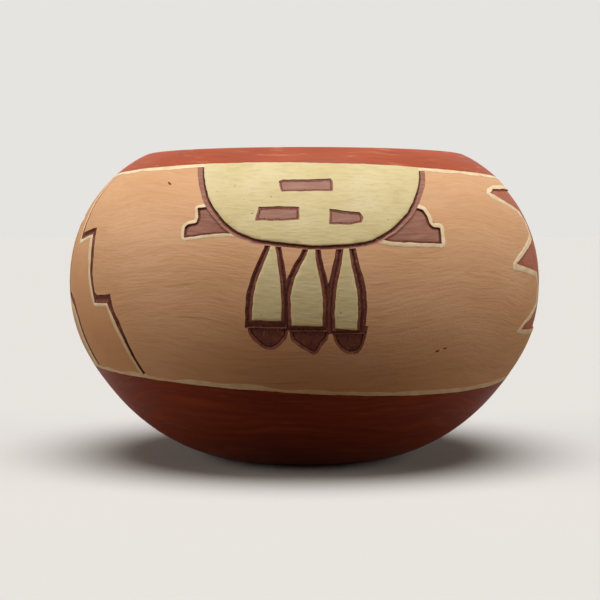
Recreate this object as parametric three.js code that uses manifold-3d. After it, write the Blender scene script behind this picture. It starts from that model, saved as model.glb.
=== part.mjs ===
// A wide, round-shouldered pottery bowl: a hand-built clay body, carved round its band and dressed
// with coloured clay slips. Lengths are in millimetres, +Z is up, the bowl stands on z = 0 and its
// front faces -Y. Each slip is a solid of its own, seated in the place that was carved for it.

import * as THREE from "three";
import { mergeVertices } from "three/addons/utils/BufferGeometryUtils.js";
import Module from "manifold-3d";

const wasm = await Module();
wasm.setup();

// Shape of the bowl, given on its finished surface.
const BELLY_RADIUS = 76.2;
const BELLY_HEIGHT = 56.8;
const HEIGHT = 97.9;
const MOUTH_RADIUS = 47.6;
const FOOT_RADIUS = 22;
const WALL = 5.5;
const FLOOR = 7;
const FLOOR_BLEND = 0.5;

// The lower wall runs from the foot through a heel, where it is steepest outwards, to the belly.
const HEEL_INSET = 13.2;
const HEEL_HEIGHT = 22.9;
const HEEL_SLOPE = THREE.MathUtils.degToRad(52);
const LIP_SLOPE = THREE.MathUtils.degToRad(22);

// How far each end of a curve holds its direction, from the foot up to the lip.
const FOOT_REACH = 12;
const HEEL_REACH_DOWN = 20;
const HEEL_REACH_UP = 11;
const BELLY_REACH_DOWN = 16;
const BELLY_REACH_UP = 25;
const LIP_REACH = 8;

// Slips, drawn thick enough to be solids, and the places carved for them.
const COAT_THICKNESS = 0.5;
const SLIP_THICKNESS = 0.4;
const CARVED_SINK = 0.4;
const SEAT_GAP = 0.3;
const COAT_DEPTH = COAT_THICKNESS + SEAT_GAP;
const CARVED_DEPTH = CARVED_SINK + SLIP_THICKNESS + SEAT_GAP;

// The red coats and the cream lines that border the carved band.
const RIM_DROP = 6.3;
const RIM_INSIDE_LENGTH = 6;
const BASE_COAT_HEIGHT = 28.9;
const FOOT_MARGIN = 1.4;
const BORDER_WIDTH = 1.3;
const LINE_WIDTH = 1.1;

// The borders were drawn by hand: each wave has a size, a count round the bowl and an angle.
const RIM_WAVES = [
  { size: 0.7, count: 1, at: THREE.MathUtils.degToRad(-20) },
  { size: 0.8, count: 2, at: THREE.MathUtils.degToRad(-12) },
];
const BASE_WAVES = [
  { size: -2.6, count: 1, at: THREE.MathUtils.degToRad(40) },
  { size: -1.0, count: 2, at: THREE.MathUtils.degToRad(40) },
];

// Four motifs stand a quarter turn apart. Angles run from the front and turn towards +X.
const FRONT_ANGLE = THREE.MathUtils.degToRad(1.5);
const TOOTH_ANGLE = FRONT_ANGLE + Math.PI / 2;
const BACK_ANGLE = FRONT_ANGLE + Math.PI;
const STEP_ANGLE = FRONT_ANGLE - Math.PI / 2;

// Sizes across a motif are measured round the belly; on the shoulder the same angle is narrower.
// Drops are measured down from the middle of the carved band's upper border.

// The half-round sun that hangs from the upper border, and the groove round it.
const SUN_HALF_WIDTH = 41;
const SUN_DROP = 22.2;
const SUN_FULLNESS = 1.75;
const SUN_STEPS = 12;
const GROOVE_WIDTH = 1.6;

// Bars in the sun: middle, width, drop of the lower edge, and height.
const BARS = {
  top: { middle: -1.6, width: 17.8, drop: 7.2, height: 2.9 },
  left: { middle: -10.4, width: 13.2, drop: 15.5, height: 3.7 },
  right: { middle: 10.5, width: 10.6, drop: 16.6, height: 3.9 },
};
const BAR_POINT = 1.1;

// Stepped clouds beside the sun: distances of the two steps from the middle, and drops.
const CLOUD = { upper: 36.4, lower: 39.7, top: 11.8, step: 17, bottom: 20.8 };

// Feathers that hang below the sun.
const FEATHER_SPACING = 11.8;
const FEATHER_TOP_WIDTH = 1.9;
const FEATHER_SHOULDER_WIDTH = 7.2;
const FEATHER_WIDTH = 8.8;
const FEATHER_TOP_DROP = 20;
const FEATHER_SHOULDER_DROP = 32;
const FEATHER_END_DROP = 44.2;
const TIP_LENGTH = 6.6;
const TIP_WIDTH = 10.6;
const TIP_SHOULDER_DROP = 2.2;
const TIP_POINT_WIDTH = 4.2;
const TIP_POINT_LENGTH = 5.8;

// The stepped line at the side and the line inside it: distance from the middle, and drop.
const STEP_END_DROP = HEIGHT - RIM_DROP - BASE_COAT_HEIGHT + BORDER_WIDTH;
const STEP_RUN = [
  { across: 14, drop: 0 },
  { across: 27.3, drop: 19 },
  { across: 37.9, drop: 17.8 },
  { across: 42.6, drop: 37.7 },
  { across: 51.6, drop: 37.3 },
  { across: 58.3, drop: STEP_END_DROP },
];
const INNER_RUN = [
  { across: 0, drop: 13.5 },
  { across: 9, drop: 14 },
  { across: 9.6, drop: 30 },
  { across: 11.8, drop: 41 },
  { across: 22.4, drop: STEP_END_DROP },
];
const STEP_LINE_WIDTH = 1.5;

// The toothed red field at the other side: its root, and each tooth's tip, top and heel.
const TOOTH_ROOT = 26.5;
const TEETH = [
  { tip: 50.1, drop: 6.8, shoulder: 4.6, heel: 11.7 },
  { tip: 47.2, drop: 29, shoulder: 19.2, heel: 33.2 },
  { tip: 41.1, drop: 49.5, shoulder: 38.6, heel: 50.4 },
];

// Facets of the round surfaces.
const SEGMENTS = 36;
const BASE_ROWS = 5;
const BAND_ROWS_BELOW = 3;
const BAND_ROWS_ABOVE = 3;
const SHOULDER_ROWS = 2;
const LIP_ROWS = 3;
const INSIDE_ROWS = 6;

// A cutting prism follows the wall closely on both sides of its surface, and from there it runs
// inwards and outwards, far enough for its flat caps to miss the wall.
const PRISM_CORE_RADIUS = 15;
const PRISM_REACH = 2.2;
const PRISM_BELOW_SURFACE = 3;
const PRISM_ABOVE_SURFACE = 0.8;
const CUTTER_CLEAR = 2;
const OUTLINE_STEP = 20;

// A sharp corner of an outline is blunted once its mitre would be longer than this share allows.
const MITRE_LEAN = 0.35;
const MERGE_DISTANCE = 1e-4;
const SEARCH_STEPS = 40;

// Slip and clay finishes.
const FINISHES = {
  clay: { color: 0xc39a70, roughness: 0.85 },
  red: { color: 0xa8553c, roughness: 0.35 },
  cream: { color: 0xddcf9f, roughness: 0.75 },
  mauve: { color: 0x7f4c42, roughness: 0.7 },
  brown: { color: 0x5e2c20, roughness: 0.75 },
};

// The finished outside of the wall, from the edge of the foot up to the lip.
const lipCentre = new THREE.Vector2(MOUTH_RADIUS + WALL / 2, HEIGHT - WALL / 2);
const lipNormal = new THREE.Vector2(Math.sin(LIP_SLOPE), Math.cos(LIP_SLOPE));
const lipStart = lipCentre.clone().addScaledVector(lipNormal, WALL / 2);
const heel = new THREE.Vector2(BELLY_RADIUS - HEEL_INSET, HEEL_HEIGHT);
const heelRun = new THREE.Vector2(Math.cos(HEEL_SLOPE), Math.sin(HEEL_SLOPE));

const outside = new THREE.CurvePath();
outside.add(
  new THREE.CubicBezierCurve(
    new THREE.Vector2(FOOT_RADIUS, 0),
    new THREE.Vector2(FOOT_RADIUS + FOOT_REACH, 0),
    heel.clone().addScaledVector(heelRun, -HEEL_REACH_DOWN),
    heel,
  ),
);
outside.add(
  new THREE.CubicBezierCurve(
    heel,
    heel.clone().addScaledVector(heelRun, HEEL_REACH_UP),
    new THREE.Vector2(BELLY_RADIUS, BELLY_HEIGHT - BELLY_REACH_DOWN),
    new THREE.Vector2(BELLY_RADIUS, BELLY_HEIGHT),
  ),
);
outside.add(
  new THREE.CubicBezierCurve(
    new THREE.Vector2(BELLY_RADIUS, BELLY_HEIGHT),
    new THREE.Vector2(BELLY_RADIUS, BELLY_HEIGHT + BELLY_REACH_UP),
    new THREE.Vector2(
      lipStart.x + LIP_REACH * Math.cos(LIP_SLOPE),
      lipStart.y - LIP_REACH * Math.sin(LIP_SLOPE),
    ),
    lipStart,
  ),
);

// A point of the wall at a share of the outside curve, a depth below the finished surface.
function onOutside(share, depth) {
  const point = outside.getPoint(share);
  const run = outside.getTangent(share);
  return new THREE.Vector2(point.x - depth * run.y, point.y + depth * run.x);
}

// The inside surface lies one wall below the outside, thickening to the floor near the foot.
function onInside(share, depth) {
  const thickness = THREE.MathUtils.lerp(FLOOR, WALL, Math.min(1, share / FLOOR_BLEND));
  return onOutside(share, thickness - depth);
}

// The rounded lip turns from the outside to the inside surface.
function onLip(share, depth) {
  const angle = Math.PI / 2 - LIP_SLOPE + share * Math.PI;
  const radius = WALL / 2 - depth;
  return new THREE.Vector2(
    lipCentre.x + radius * Math.cos(angle),
    lipCentre.y + radius * Math.sin(angle),
  );
}

// The share of the outside curve, below a highest share, at which a coordinate reaches a value.
function shareWhere(axis, value, highest) {
  let low = 0;
  let high = highest;
  for (let step = 0; step < SEARCH_STEPS; step += 1) {
    const middle = (low + high) / 2;
    if (outside.getPoint(middle)[axis] < value) low = middle;
    else high = middle;
  }
  return (low + high) / 2;
}

const knownShares = new Map();
function shareAtHeight(height) {
  const key = height.toFixed(5);
  if (!knownShares.has(key)) knownShares.set(key, shareWhere("y", height, 1));
  return knownShares.get(key);
}

// A line round the wall: the share that it keeps to, and its share at an angle where it waves.
function waved(height, waves) {
  const wave = (angle) =>
    waves.reduce((all, w) => all + w.size * Math.cos(w.count * (angle - w.at)), 0);
  return { level: shareAtHeight(height), at: (angle) => shareAtHeight(height + wave(angle)) };
}

function level(share) {
  return { level: share, at: () => share };
}

// Lines that run along the borders of the two red coats, an offset above them.
const rimLine = (offset) => waved(HEIGHT - RIM_DROP + offset, RIM_WAVES);
const baseLine = (offset) => waved(BASE_COAT_HEIGHT + offset, BASE_WAVES);

// The carved band lies between the two cream borders.
const BAND_MARGIN = BORDER_WIDTH + 2 * SEAT_GAP;

// The base coat starts a margin away from the flat face that the bowl stands on.
const bellyShare = shareAtHeight(BELLY_HEIGHT);
const coatStart = shareWhere("x", FOOT_RADIUS + FOOT_MARGIN, bellyShare);
const insideEnd = 1 - RIM_INSIDE_LENGTH / outside.getLength();
const gapShare = SEAT_GAP / outside.getLength();

// Rows of points from one line to another. Each row is a function of the angle, and the rows
// between the two lines stay level.
function wallRows(surface, from, to, count, depth) {
  return Array.from({ length: count + 1 }, (_, row) => {
    const between = THREE.MathUtils.lerp(from.level, to.level, row / count);
    if (row === 0) return (angle) => surface(from.at(angle), depth);
    if (row === count) return (angle) => surface(to.at(angle), depth);
    return () => surface(between, depth);
  });
}

// Rows of the carved band, from its lower edge by way of the belly to its upper edge.
function bandRows(depth, inset) {
  const bottom = baseLine(BAND_MARGIN + inset);
  const top = rimLine(-BAND_MARGIN - inset);
  const belly = level(bellyShare);
  return [
    ...wallRows(onOutside, bottom, belly, BAND_ROWS_BELOW, depth),
    ...wallRows(onOutside, belly, top, BAND_ROWS_ABOVE, depth).slice(1),
  ];
}

// Rows of the rounded lip, from its highest line to the inside.
function lipRows(depth) {
  return wallRows(onLip, level(LIP_SLOPE / Math.PI), level(1), LIP_ROWS, depth);
}

// A closed surface turned round the axis from rows of points. Rows that meet the axis close there,
// and a loop of rows closes on its first row.
function turned(rows, loop) {
  const positions = [];
  const index = [];
  const rings = rows.map((row) => {
    const start = positions.length / 3;
    if (row(0).x < MERGE_DISTANCE) {
      positions.push(0, 0, row(0).y);
      return () => start;
    }
    for (let i = 0; i < SEGMENTS; i += 1) {
      const angle = (i / SEGMENTS) * 2 * Math.PI;
      const point = row(angle);
      positions.push(point.x * Math.sin(angle), -point.x * Math.cos(angle), point.y);
    }
    return (i) => start + (i % SEGMENTS);
  });
  const last = loop ? rings.length : rings.length - 1;
  for (let j = 0; j < last; j += 1) {
    const low = rings[j];
    const high = rings[(j + 1) % rings.length];
    for (let i = 0; i < SEGMENTS; i += 1) {
      if (low(i) !== low(i + 1)) index.push(low(i), low(i + 1), high(i + 1));
      if (high(i) !== high(i + 1)) index.push(low(i), high(i + 1), high(i));
    }
  }
  return solidFrom(positions, index);
}

function solidFrom(positions, index) {
  const geometry = new THREE.BufferGeometry();
  geometry.setAttribute("position", new THREE.Float32BufferAttribute(positions, 3));
  geometry.setIndex(index);
  const merged = mergeVertices(geometry, MERGE_DISTANCE);
  return new wasm.Manifold(
    new wasm.Mesh({
      numProp: 3,
      vertProperties: merged.attributes.position.array,
      triVerts: new Uint32Array(merged.index.array),
    }),
  );
}

// A piece of the carved band between two angles and two depths, on the same facets as the wall.
function bandPatch(fromAngle, toAngle, outerDepth, innerDepth) {
  const step = (2 * Math.PI) / SEGMENTS;
  const first = Math.floor(fromAngle / step) - 1;
  const last = Math.ceil(toAngle / step) + 1;
  const beyond = (depth) => [
    (angle) => onOutside(baseLine(0).at(angle), depth),
    ...bandRows(depth, 0),
    (angle) => onOutside(rimLine(0).at(angle), depth),
  ];
  const layers = [beyond(outerDepth), beyond(innerDepth)];
  const count = layers[0].length;
  const across = last - first + 1;
  const positions = [];
  for (const row of layers.flat()) {
    for (let i = 0; i < across; i += 1) {
      const angle = (first + i) * step;
      const point = row(angle);
      positions.push(point.x * Math.sin(angle), -point.x * Math.cos(angle), point.y);
    }
  }
  const at = (layer, row, i) => (layer * count + row) * across + i;
  const index = [];
  const quad = (a, b, c, d) => index.push(a, b, c, a, c, d);
  const top = count - 1;
  const end = across - 1;
  for (let row = 0; row < top; row += 1) {
    for (let i = 0; i < end; i += 1) {
      quad(at(0, row, i), at(0, row, i + 1), at(0, row + 1, i + 1), at(0, row + 1, i));
      quad(at(1, row, i), at(1, row + 1, i), at(1, row + 1, i + 1), at(1, row, i + 1));
    }
    quad(at(0, row, 0), at(0, row + 1, 0), at(1, row + 1, 0), at(1, row, 0));
    quad(at(0, row, end), at(1, row, end), at(1, row + 1, end), at(0, row + 1, end));
  }
  for (let i = 0; i < end; i += 1) {
    quad(at(0, 0, i), at(1, 0, i), at(1, 0, i + 1), at(0, 0, i + 1));
    quad(at(0, top, i), at(0, top, i + 1), at(1, top, i + 1), at(1, top, i));
  }
  return solidFrom(positions, index);
}

// An outline is a list of points with x across the motif and y as height.
// Growing it moves each side outwards; a negative distance shrinks it.
function grow(outline, distance) {
  const count = outline.length;
  const turn = THREE.ShapeUtils.area(outline) > 0 ? 1 : -1;
  return outline.map((point, i) => {
    const before = outline[(i + count - 1) % count];
    const after = outline[(i + 1) % count];
    const first = point.clone().sub(before).normalize();
    const second = after.clone().sub(point).normalize();
    const outwards = new THREE.Vector2(first.y + second.y, -first.x - second.x).normalize();
    const lean = Math.max(MITRE_LEAN, outwards.x * first.y - outwards.y * first.x);
    return point.clone().addScaledVector(outwards, (turn * distance) / lean);
  });
}

// Long sides that slope are split, so that they follow the round wall.
function splitSides(outline) {
  const points = [];
  outline.forEach((point, i) => {
    const next = outline[(i + 1) % outline.length];
    const level = Math.abs(next.y - point.y) < SEAT_GAP;
    const pieces = level ? 1 : Math.ceil(Math.abs(next.x - point.x) / OUTLINE_STEP) || 1;
    for (let k = 0; k < pieces; k += 1) points.push(point.clone().lerp(next, k / pieces));
  });
  return points;
}

// A prism with sides square to the axis, which cuts an outline out of the wall.
function prism(outline, middle) {
  let points = splitSides(outline);
  if (THREE.ShapeUtils.area(points) < 0) points = points.reverse();
  const radii = points.map((p) => outside.getPoint(shareAtHeight(p.y)).x);
  const angles = points.map((p) => middle + p.x / BELLY_RADIUS);
  const layers = [
    () => BELLY_RADIUS * PRISM_REACH,
    (radius) => radius + PRISM_ABOVE_SURFACE,
    (radius) => radius - PRISM_BELOW_SURFACE,
    () => PRISM_CORE_RADIUS,
  ];
  const positions = [];
  for (const layer of layers) {
    points.forEach((p, i) => {
      const radius = layer(radii[i]);
      positions.push(radius * Math.sin(angles[i]), -radius * Math.cos(angles[i]), p.y);
    });
  }
  const count = points.length;
  const core = count * (layers.length - 1);
  const index = [];
  for (const [a, b, c] of THREE.ShapeUtils.triangulateShape(points, [])) {
    index.push(a, b, c, core + a, core + c, core + b);
  }
  for (let start = 0; start < core; start += count) {
    for (let i = 0; i < count; i += 1) {
      const a = start + i;
      const b = start + ((i + 1) % count);
      index.push(a, count + a, count + b, a, count + b, b);
    }
  }
  return solidFrom(positions, index);
}

const vector = (x, y) => new THREE.Vector2(x, y);
const sum = (solids) => solids.reduce((all, solid) => all.add(solid));
const pockets = [];
const slips = [];

// The height that lies a drop below the middle of the carved band's upper border.
const heightAt = (drop) => HEIGHT - RIM_DROP - drop;

// Everything that is cut or laid on one panel of the band, between two angles.
function panel(fromAngle, toAngle) {
  const bottom = CARVED_SINK + SLIP_THICKNESS;
  const pocket = bandPatch(fromAngle, toAngle, -CUTTER_CLEAR, CARVED_DEPTH);
  const full = bandPatch(fromAngle, toAngle, 0, bottom);
  const sunk = bandPatch(fromAngle, toAngle, CARVED_SINK, bottom);
  return {
    carve: (cutters) => pockets.push(pocket.intersect(sum(cutters))),
    lay: (cutter) => full.intersect(cutter),
    sink: (cutter) => sunk.intersect(cutter),
  };
}

// The band's own field, a gap inside its borders, which no slip of a motif crosses.
const field = turned(
  [...bandRows(-CUTTER_CLEAR, SEAT_GAP), ...bandRows(CUTTER_CLEAR, SEAT_GAP).reverse()],
  true,
);

function addSlip(name, finish, solid) {
  slips.push({ name, finish, solid: solid.intersect(field) });
}

// Outline of the half-round sun, with its flat side above the band, where the border trims it.
function sunOutline() {
  const points = [];
  for (let i = 0; i <= SUN_STEPS; i += 1) {
    const angle = (i / SUN_STEPS) * Math.PI;
    const across = Math.sign(Math.cos(angle)) * Math.abs(Math.cos(angle)) ** (2 / SUN_FULLNESS);
    const down = Math.sin(angle) ** (2 / SUN_FULLNESS);
    points.push(vector(-SUN_HALF_WIDTH * across, heightAt(SUN_DROP * down)));
  }
  return points;
}

function barOutline(bar, pointed) {
  const left = bar.middle - bar.width / 2;
  const right = bar.middle + bar.width / 2;
  const bottom = heightAt(bar.drop);
  const top = bottom + bar.height;
  const points = [vector(left, bottom), vector(right, bottom)];
  if (pointed) points.push(vector(right + BAR_POINT, (bottom + top) / 2));
  points.push(vector(right, top), vector(left, top));
  return points;
}

function cloudOutline(side) {
  return [
    vector(side * CLOUD.upper, heightAt(CLOUD.top)),
    vector(side * CLOUD.upper, heightAt(CLOUD.step)),
    vector(side * CLOUD.lower, heightAt(CLOUD.step)),
    vector(side * CLOUD.lower, heightAt(CLOUD.bottom)),
    vector(0, heightAt(CLOUD.bottom)),
    vector(0, heightAt(CLOUD.top)),
  ];
}

function featherOutline(middle) {
  const half = (width) => width / 2;
  const levels = [
    { width: FEATHER_TOP_WIDTH, drop: FEATHER_TOP_DROP },
    { width: FEATHER_SHOULDER_WIDTH, drop: FEATHER_SHOULDER_DROP },
    { width: FEATHER_WIDTH, drop: FEATHER_END_DROP },
  ];
  const curve = new THREE.SplineCurve(levels.map((l) => vector(half(l.width), heightAt(l.drop))));
  const right = curve.getPoints(levels.length);
  const left = right.map((p) => vector(-p.x, p.y)).reverse();
  return [...right, ...left].map((p) => vector(middle + p.x, p.y));
}

function tipOutline(middle) {
  const top = heightAt(FEATHER_END_DROP + GROOVE_WIDTH);
  const across = [-TIP_WIDTH / 2, -TIP_WIDTH / 2, -TIP_POINT_WIDTH / 2, 0];
  const down = [0, TIP_SHOULDER_DROP, TIP_POINT_LENGTH, TIP_LENGTH];
  const left = across.map((x, i) => vector(x, top - down[i]));
  const right = left.slice(0, -1).map((p) => vector(-p.x, p.y)).reverse();
  return [...left, ...right].map((p) => vector(middle + p.x, p.y));
}

// The sun with its bars, clouds and feathers, at the front and again at the back.
function sunMotif(side, angle) {
  const reach = (CLOUD.lower + LINE_WIDTH + GROOVE_WIDTH) / BELLY_RADIUS;
  const bowl = panel(angle - reach, angle + reach);
  const cut = (outline) => prism(outline, angle);

  const sun = sunOutline();
  const besideSun = cut(grow(sun, GROOVE_WIDTH + SEAT_GAP));
  const carved = [cut(grow(sun, GROOVE_WIDTH))];
  const bars = Object.entries(BARS).map(([name, bar]) => ({
    name,
    outline: barOutline(bar, name === "right"),
  }));
  const barHoles = sum(bars.map((bar) => cut(bar.outline)));
  addSlip(`${side}_sun_face`, "cream", bowl.lay(cut(sun).subtract(barHoles)));
  addSlip(
    `${side}_sun_outline`,
    "brown",
    bowl.sink(cut(grow(sun, GROOVE_WIDTH - SEAT_GAP)).subtract(cut(grow(sun, SEAT_GAP)))),
  );
  bars.forEach((bar) => {
    addSlip(`${side}_bar_${bar.name}`, "mauve", bowl.sink(cut(grow(bar.outline, -SEAT_GAP))));
  });

  for (const [name, hand] of [["left", -1], ["right", 1]]) {
    const cloud = cloudOutline(hand);
    const line = cut(grow(cloud, LINE_WIDTH + SEAT_GAP)).subtract(cut(grow(cloud, SEAT_GAP)));
    carved.push(cut(grow(cloud, LINE_WIDTH + 2 * SEAT_GAP)));
    addSlip(
      `${side}_cloud_${name}`,
      "mauve",
      bowl.sink(cut(grow(cloud, -SEAT_GAP)).subtract(besideSun)),
    );
    addSlip(
      `${side}_cloud_line_${name}`,
      "cream",
      bowl.lay(line.subtract(besideSun).subtract(feathersRoom(angle))),
    );
  }

  ["left", "middle", "right"].forEach((name, i) => {
    const middle = (i - 1) * FEATHER_SPACING;
    const feather = featherOutline(middle);
    const tip = tipOutline(middle);
    const outline = cut(grow(feather, GROOVE_WIDTH - SEAT_GAP));
    carved.push(cut(grow(feather, GROOVE_WIDTH)), cut(tip));
    addSlip(`${side}_feather_${name}`, "cream", bowl.lay(cut(feather).subtract(besideSun)));
    addSlip(
      `${side}_feather_outline_${name}`,
      "brown",
      bowl.sink(outline.subtract(cut(grow(feather, SEAT_GAP))).subtract(besideSun)),
    );
    addSlip(`${side}_feather_tip_${name}`, "mauve", bowl.sink(cut(grow(tip, -SEAT_GAP))));
  });
  bowl.carve(carved);
}

// The feathers' tops part the line that runs below the clouds.
function feathersRoom(angle) {
  const half = FEATHER_SPACING + FEATHER_TOP_WIDTH / 2 + GROOVE_WIDTH + SEAT_GAP;
  return prism(
    [
      vector(-half, heightAt(FEATHER_END_DROP)),
      vector(half, heightAt(FEATHER_END_DROP)),
      vector(half, heightAt(CLOUD.top)),
      vector(-half, heightAt(CLOUD.top)),
    ],
    angle,
  );
}

// A strip beside a run of points, from one distance to its side to another.
function strip(run, near, far) {
  const offset = (distance) =>
    run.map((point, i) => {
      const before = run[Math.max(0, i - 1)];
      const after = run[Math.min(run.length - 1, i + 1)];
      const first = (i === 0 ? after.clone().sub(point) : point.clone().sub(before)).normalize();
      const second = (i === run.length - 1 ? first : after.clone().sub(point)).clone().normalize();
      const aside = new THREE.Vector2(first.y + second.y, -first.x - second.x).normalize();
      const lean = Math.max(MITRE_LEAN, aside.x * first.y - aside.y * first.x);
      return point.clone().addScaledVector(aside, distance / lean);
    });
  return [...offset(near), ...offset(far).reverse()];
}

// The stepped line and the line inside it, on both halves of the side panel.
function stepMotif() {
  const reach = (Math.max(...STEP_RUN.map((p) => p.across)) + STEP_LINE_WIDTH) / BELLY_RADIUS;
  const bowl = panel(STEP_ANGLE - reach, STEP_ANGLE + reach);
  const cut = (outline) => prism(outline, STEP_ANGLE);
  const run = (points, hand) => points.map((p) => vector(hand * p.across, heightAt(p.drop)));
  const carved = [];
  const lay = (name, line, hand) => {
    const between = (near, far) => cut(strip(line, hand * near, hand * far));
    const lineStart = STEP_LINE_WIDTH + SEAT_GAP;
    carved.push(between(0, lineStart + LINE_WIDTH + SEAT_GAP));
    addSlip(`${name}_outline`, "brown", bowl.sink(between(SEAT_GAP, STEP_LINE_WIDTH)));
    addSlip(`${name}_line`, "cream", bowl.lay(between(lineStart, lineStart + LINE_WIDTH)));
  };
  lay("front_step", run(STEP_RUN, 1), 1);
  lay("back_step", run(STEP_RUN, -1), -1);
  lay("inner_step", [...run(INNER_RUN.slice(1), -1).reverse(), ...run(INNER_RUN, 1)], 1);
  bowl.carve(carved);
}

// The toothed red field with its cream outline.
function toothMotif() {
  const half = [];
  for (const tooth of TEETH) {
    half.push(vector(-TOOTH_ROOT, heightAt(tooth.shoulder)));
    half.push(vector(-tooth.tip, heightAt(tooth.drop)));
    half.push(vector(-TOOTH_ROOT, heightAt(tooth.heel)));
  }
  const mirrored = half.map((p) => vector(-p.x, p.y)).reverse();
  const outline = [...half, ...mirrored];
  const reach = (Math.max(...TEETH.map((t) => t.tip)) + 2 * LINE_WIDTH) / BELLY_RADIUS;
  const bowl = panel(TOOTH_ANGLE - reach, TOOTH_ANGLE + reach);
  const cut = (shape) => prism(shape, TOOTH_ANGLE);
  bowl.carve([cut(grow(outline, LINE_WIDTH + 2 * SEAT_GAP))]);
  addSlip("tooth_field", "red", bowl.sink(cut(grow(outline, -SEAT_GAP))));
  addSlip(
    "tooth_line",
    "cream",
    bowl.lay(cut(grow(outline, LINE_WIDTH + SEAT_GAP)).subtract(cut(grow(outline, SEAT_GAP)))),
  );
}

sunMotif("front", FRONT_ANGLE);
sunMotif("back", BACK_ANGLE);
stepMotif();
toothMotif();

// The clay body: foot, seat of the base coat, carved band, seat of the rim coat, lip and inside.
const insideStart = level(insideEnd - gapShare);
const clay = turned(
  [
    () => vector(0, 0),
    () => vector(FOOT_RADIUS, 0),
    () => onOutside(coatStart, 0),
    ...wallRows(onOutside, level(coatStart), baseLine(BAND_MARGIN), BASE_ROWS, COAT_DEPTH),
    ...bandRows(0, 0),
    ...wallRows(onOutside, rimLine(-BAND_MARGIN), level(1), SHOULDER_ROWS, COAT_DEPTH),
    ...lipRows(COAT_DEPTH),
    (angle) => onInside(insideStart.at(angle), COAT_DEPTH),
    ...wallRows(onInside, insideStart, level(0), INSIDE_ROWS, 0),
    () => vector(0, FLOOR),
  ],
  false,
).subtract(sum(pockets));

// A slip coat or line between two lines of the outside surface.
function coat(rows) {
  const outer = rows(0);
  const inner = rows(COAT_THICKNESS).reverse();
  return turned([...outer, ...inner], true);
}

const rimCoat = coat((depth) => [
  ...wallRows(onOutside, rimLine(0), level(1), SHOULDER_ROWS, depth),
  ...lipRows(depth),
  () => onInside(insideEnd, depth),
]);
const baseCoat = coat((depth) =>
  wallRows(onOutside, level(coatStart + gapShare), baseLine(0), BASE_ROWS, depth),
);
const upperBorder = coat((depth) =>
  wallRows(onOutside, rimLine(-SEAT_GAP - BORDER_WIDTH), rimLine(-SEAT_GAP), 1, depth),
);
const lowerBorder = coat((depth) =>
  wallRows(onOutside, baseLine(SEAT_GAP), baseLine(SEAT_GAP + BORDER_WIDTH), 1, depth),
);

function finished(name, solid, finish) {
  const mesh = solid.getMesh();
  const geometry = new THREE.BufferGeometry();
  geometry.setAttribute("position", new THREE.Float32BufferAttribute(mesh.vertProperties, 3));
  geometry.setIndex(new THREE.Uint32BufferAttribute(mesh.triVerts, 1));
  geometry.computeVertexNormals();
  const { color, roughness } = FINISHES[finish];
  const material = new THREE.MeshStandardMaterial({ color, roughness, metalness: 0 });
  const made = new THREE.Mesh(geometry, material);
  made.name = name;
  return made;
}

const bowl = new THREE.Group();
bowl.name = "pottery_bowl";
bowl.add(finished("clay_body", clay, "clay"));
bowl.add(finished("rim_coat", rimCoat, "red"));
bowl.add(finished("base_coat", baseCoat, "red"));
bowl.add(finished("upper_border", upperBorder, "cream"));
bowl.add(finished("lower_border", lowerBorder, "cream"));
for (const slip of slips) bowl.add(finished(slip.name, slip.solid, slip.finish));

export default bowl;
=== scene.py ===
# A round-shouldered pottery bowl, hand-built and carved round its band, dressed with clay slips.
# Lengths are in millimetres until a piece is laid round the wall, which places it in metres.

import math

import bpy
import numpy as np
from mathutils import Euler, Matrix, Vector, noise


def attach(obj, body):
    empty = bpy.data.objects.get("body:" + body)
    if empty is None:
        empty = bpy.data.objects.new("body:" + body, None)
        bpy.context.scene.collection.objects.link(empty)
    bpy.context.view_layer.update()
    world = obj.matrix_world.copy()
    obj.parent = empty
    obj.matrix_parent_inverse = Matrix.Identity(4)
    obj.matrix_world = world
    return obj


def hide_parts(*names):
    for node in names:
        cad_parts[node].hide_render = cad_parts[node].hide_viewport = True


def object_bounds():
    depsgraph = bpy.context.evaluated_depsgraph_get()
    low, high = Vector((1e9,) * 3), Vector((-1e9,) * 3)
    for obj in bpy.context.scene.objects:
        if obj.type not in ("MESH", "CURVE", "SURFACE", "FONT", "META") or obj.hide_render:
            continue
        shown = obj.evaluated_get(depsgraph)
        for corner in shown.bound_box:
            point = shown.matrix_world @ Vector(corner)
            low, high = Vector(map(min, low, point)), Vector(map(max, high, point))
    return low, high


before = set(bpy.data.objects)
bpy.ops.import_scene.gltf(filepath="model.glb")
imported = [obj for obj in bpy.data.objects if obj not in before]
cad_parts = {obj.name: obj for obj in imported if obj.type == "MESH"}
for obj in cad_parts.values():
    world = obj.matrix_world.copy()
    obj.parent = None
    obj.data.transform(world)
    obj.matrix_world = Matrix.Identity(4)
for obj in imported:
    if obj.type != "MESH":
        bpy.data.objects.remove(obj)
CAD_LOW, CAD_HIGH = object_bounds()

MM = 0.001

# Shape of the wall's section. Height and girth are those of the solid model.
BELLY_RADIUS = CAD_HIGH.y / MM
HEIGHT = CAD_HIGH.z / MM
BELLY_HEIGHT = 56.8
MOUTH_RADIUS = 47.6
FOOT_RADIUS = 22
WALL = 5.5
FLOOR = 7
FLOOR_BLEND = 0.5
HEEL_INSET = 13.2
HEEL_HEIGHT = 22.9
HEEL_SLOPE = math.radians(52)
LIP_SLOPE = math.radians(22)
FOOT_REACH = 12
HEEL_REACH_DOWN = 20
HEEL_REACH_UP = 11
BELLY_REACH_DOWN = 16
BELLY_REACH_UP = 25
LIP_REACH = 8
CURVE_POINTS = 200
LIP_POINTS = 60
DISC_POINTS = 12

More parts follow.
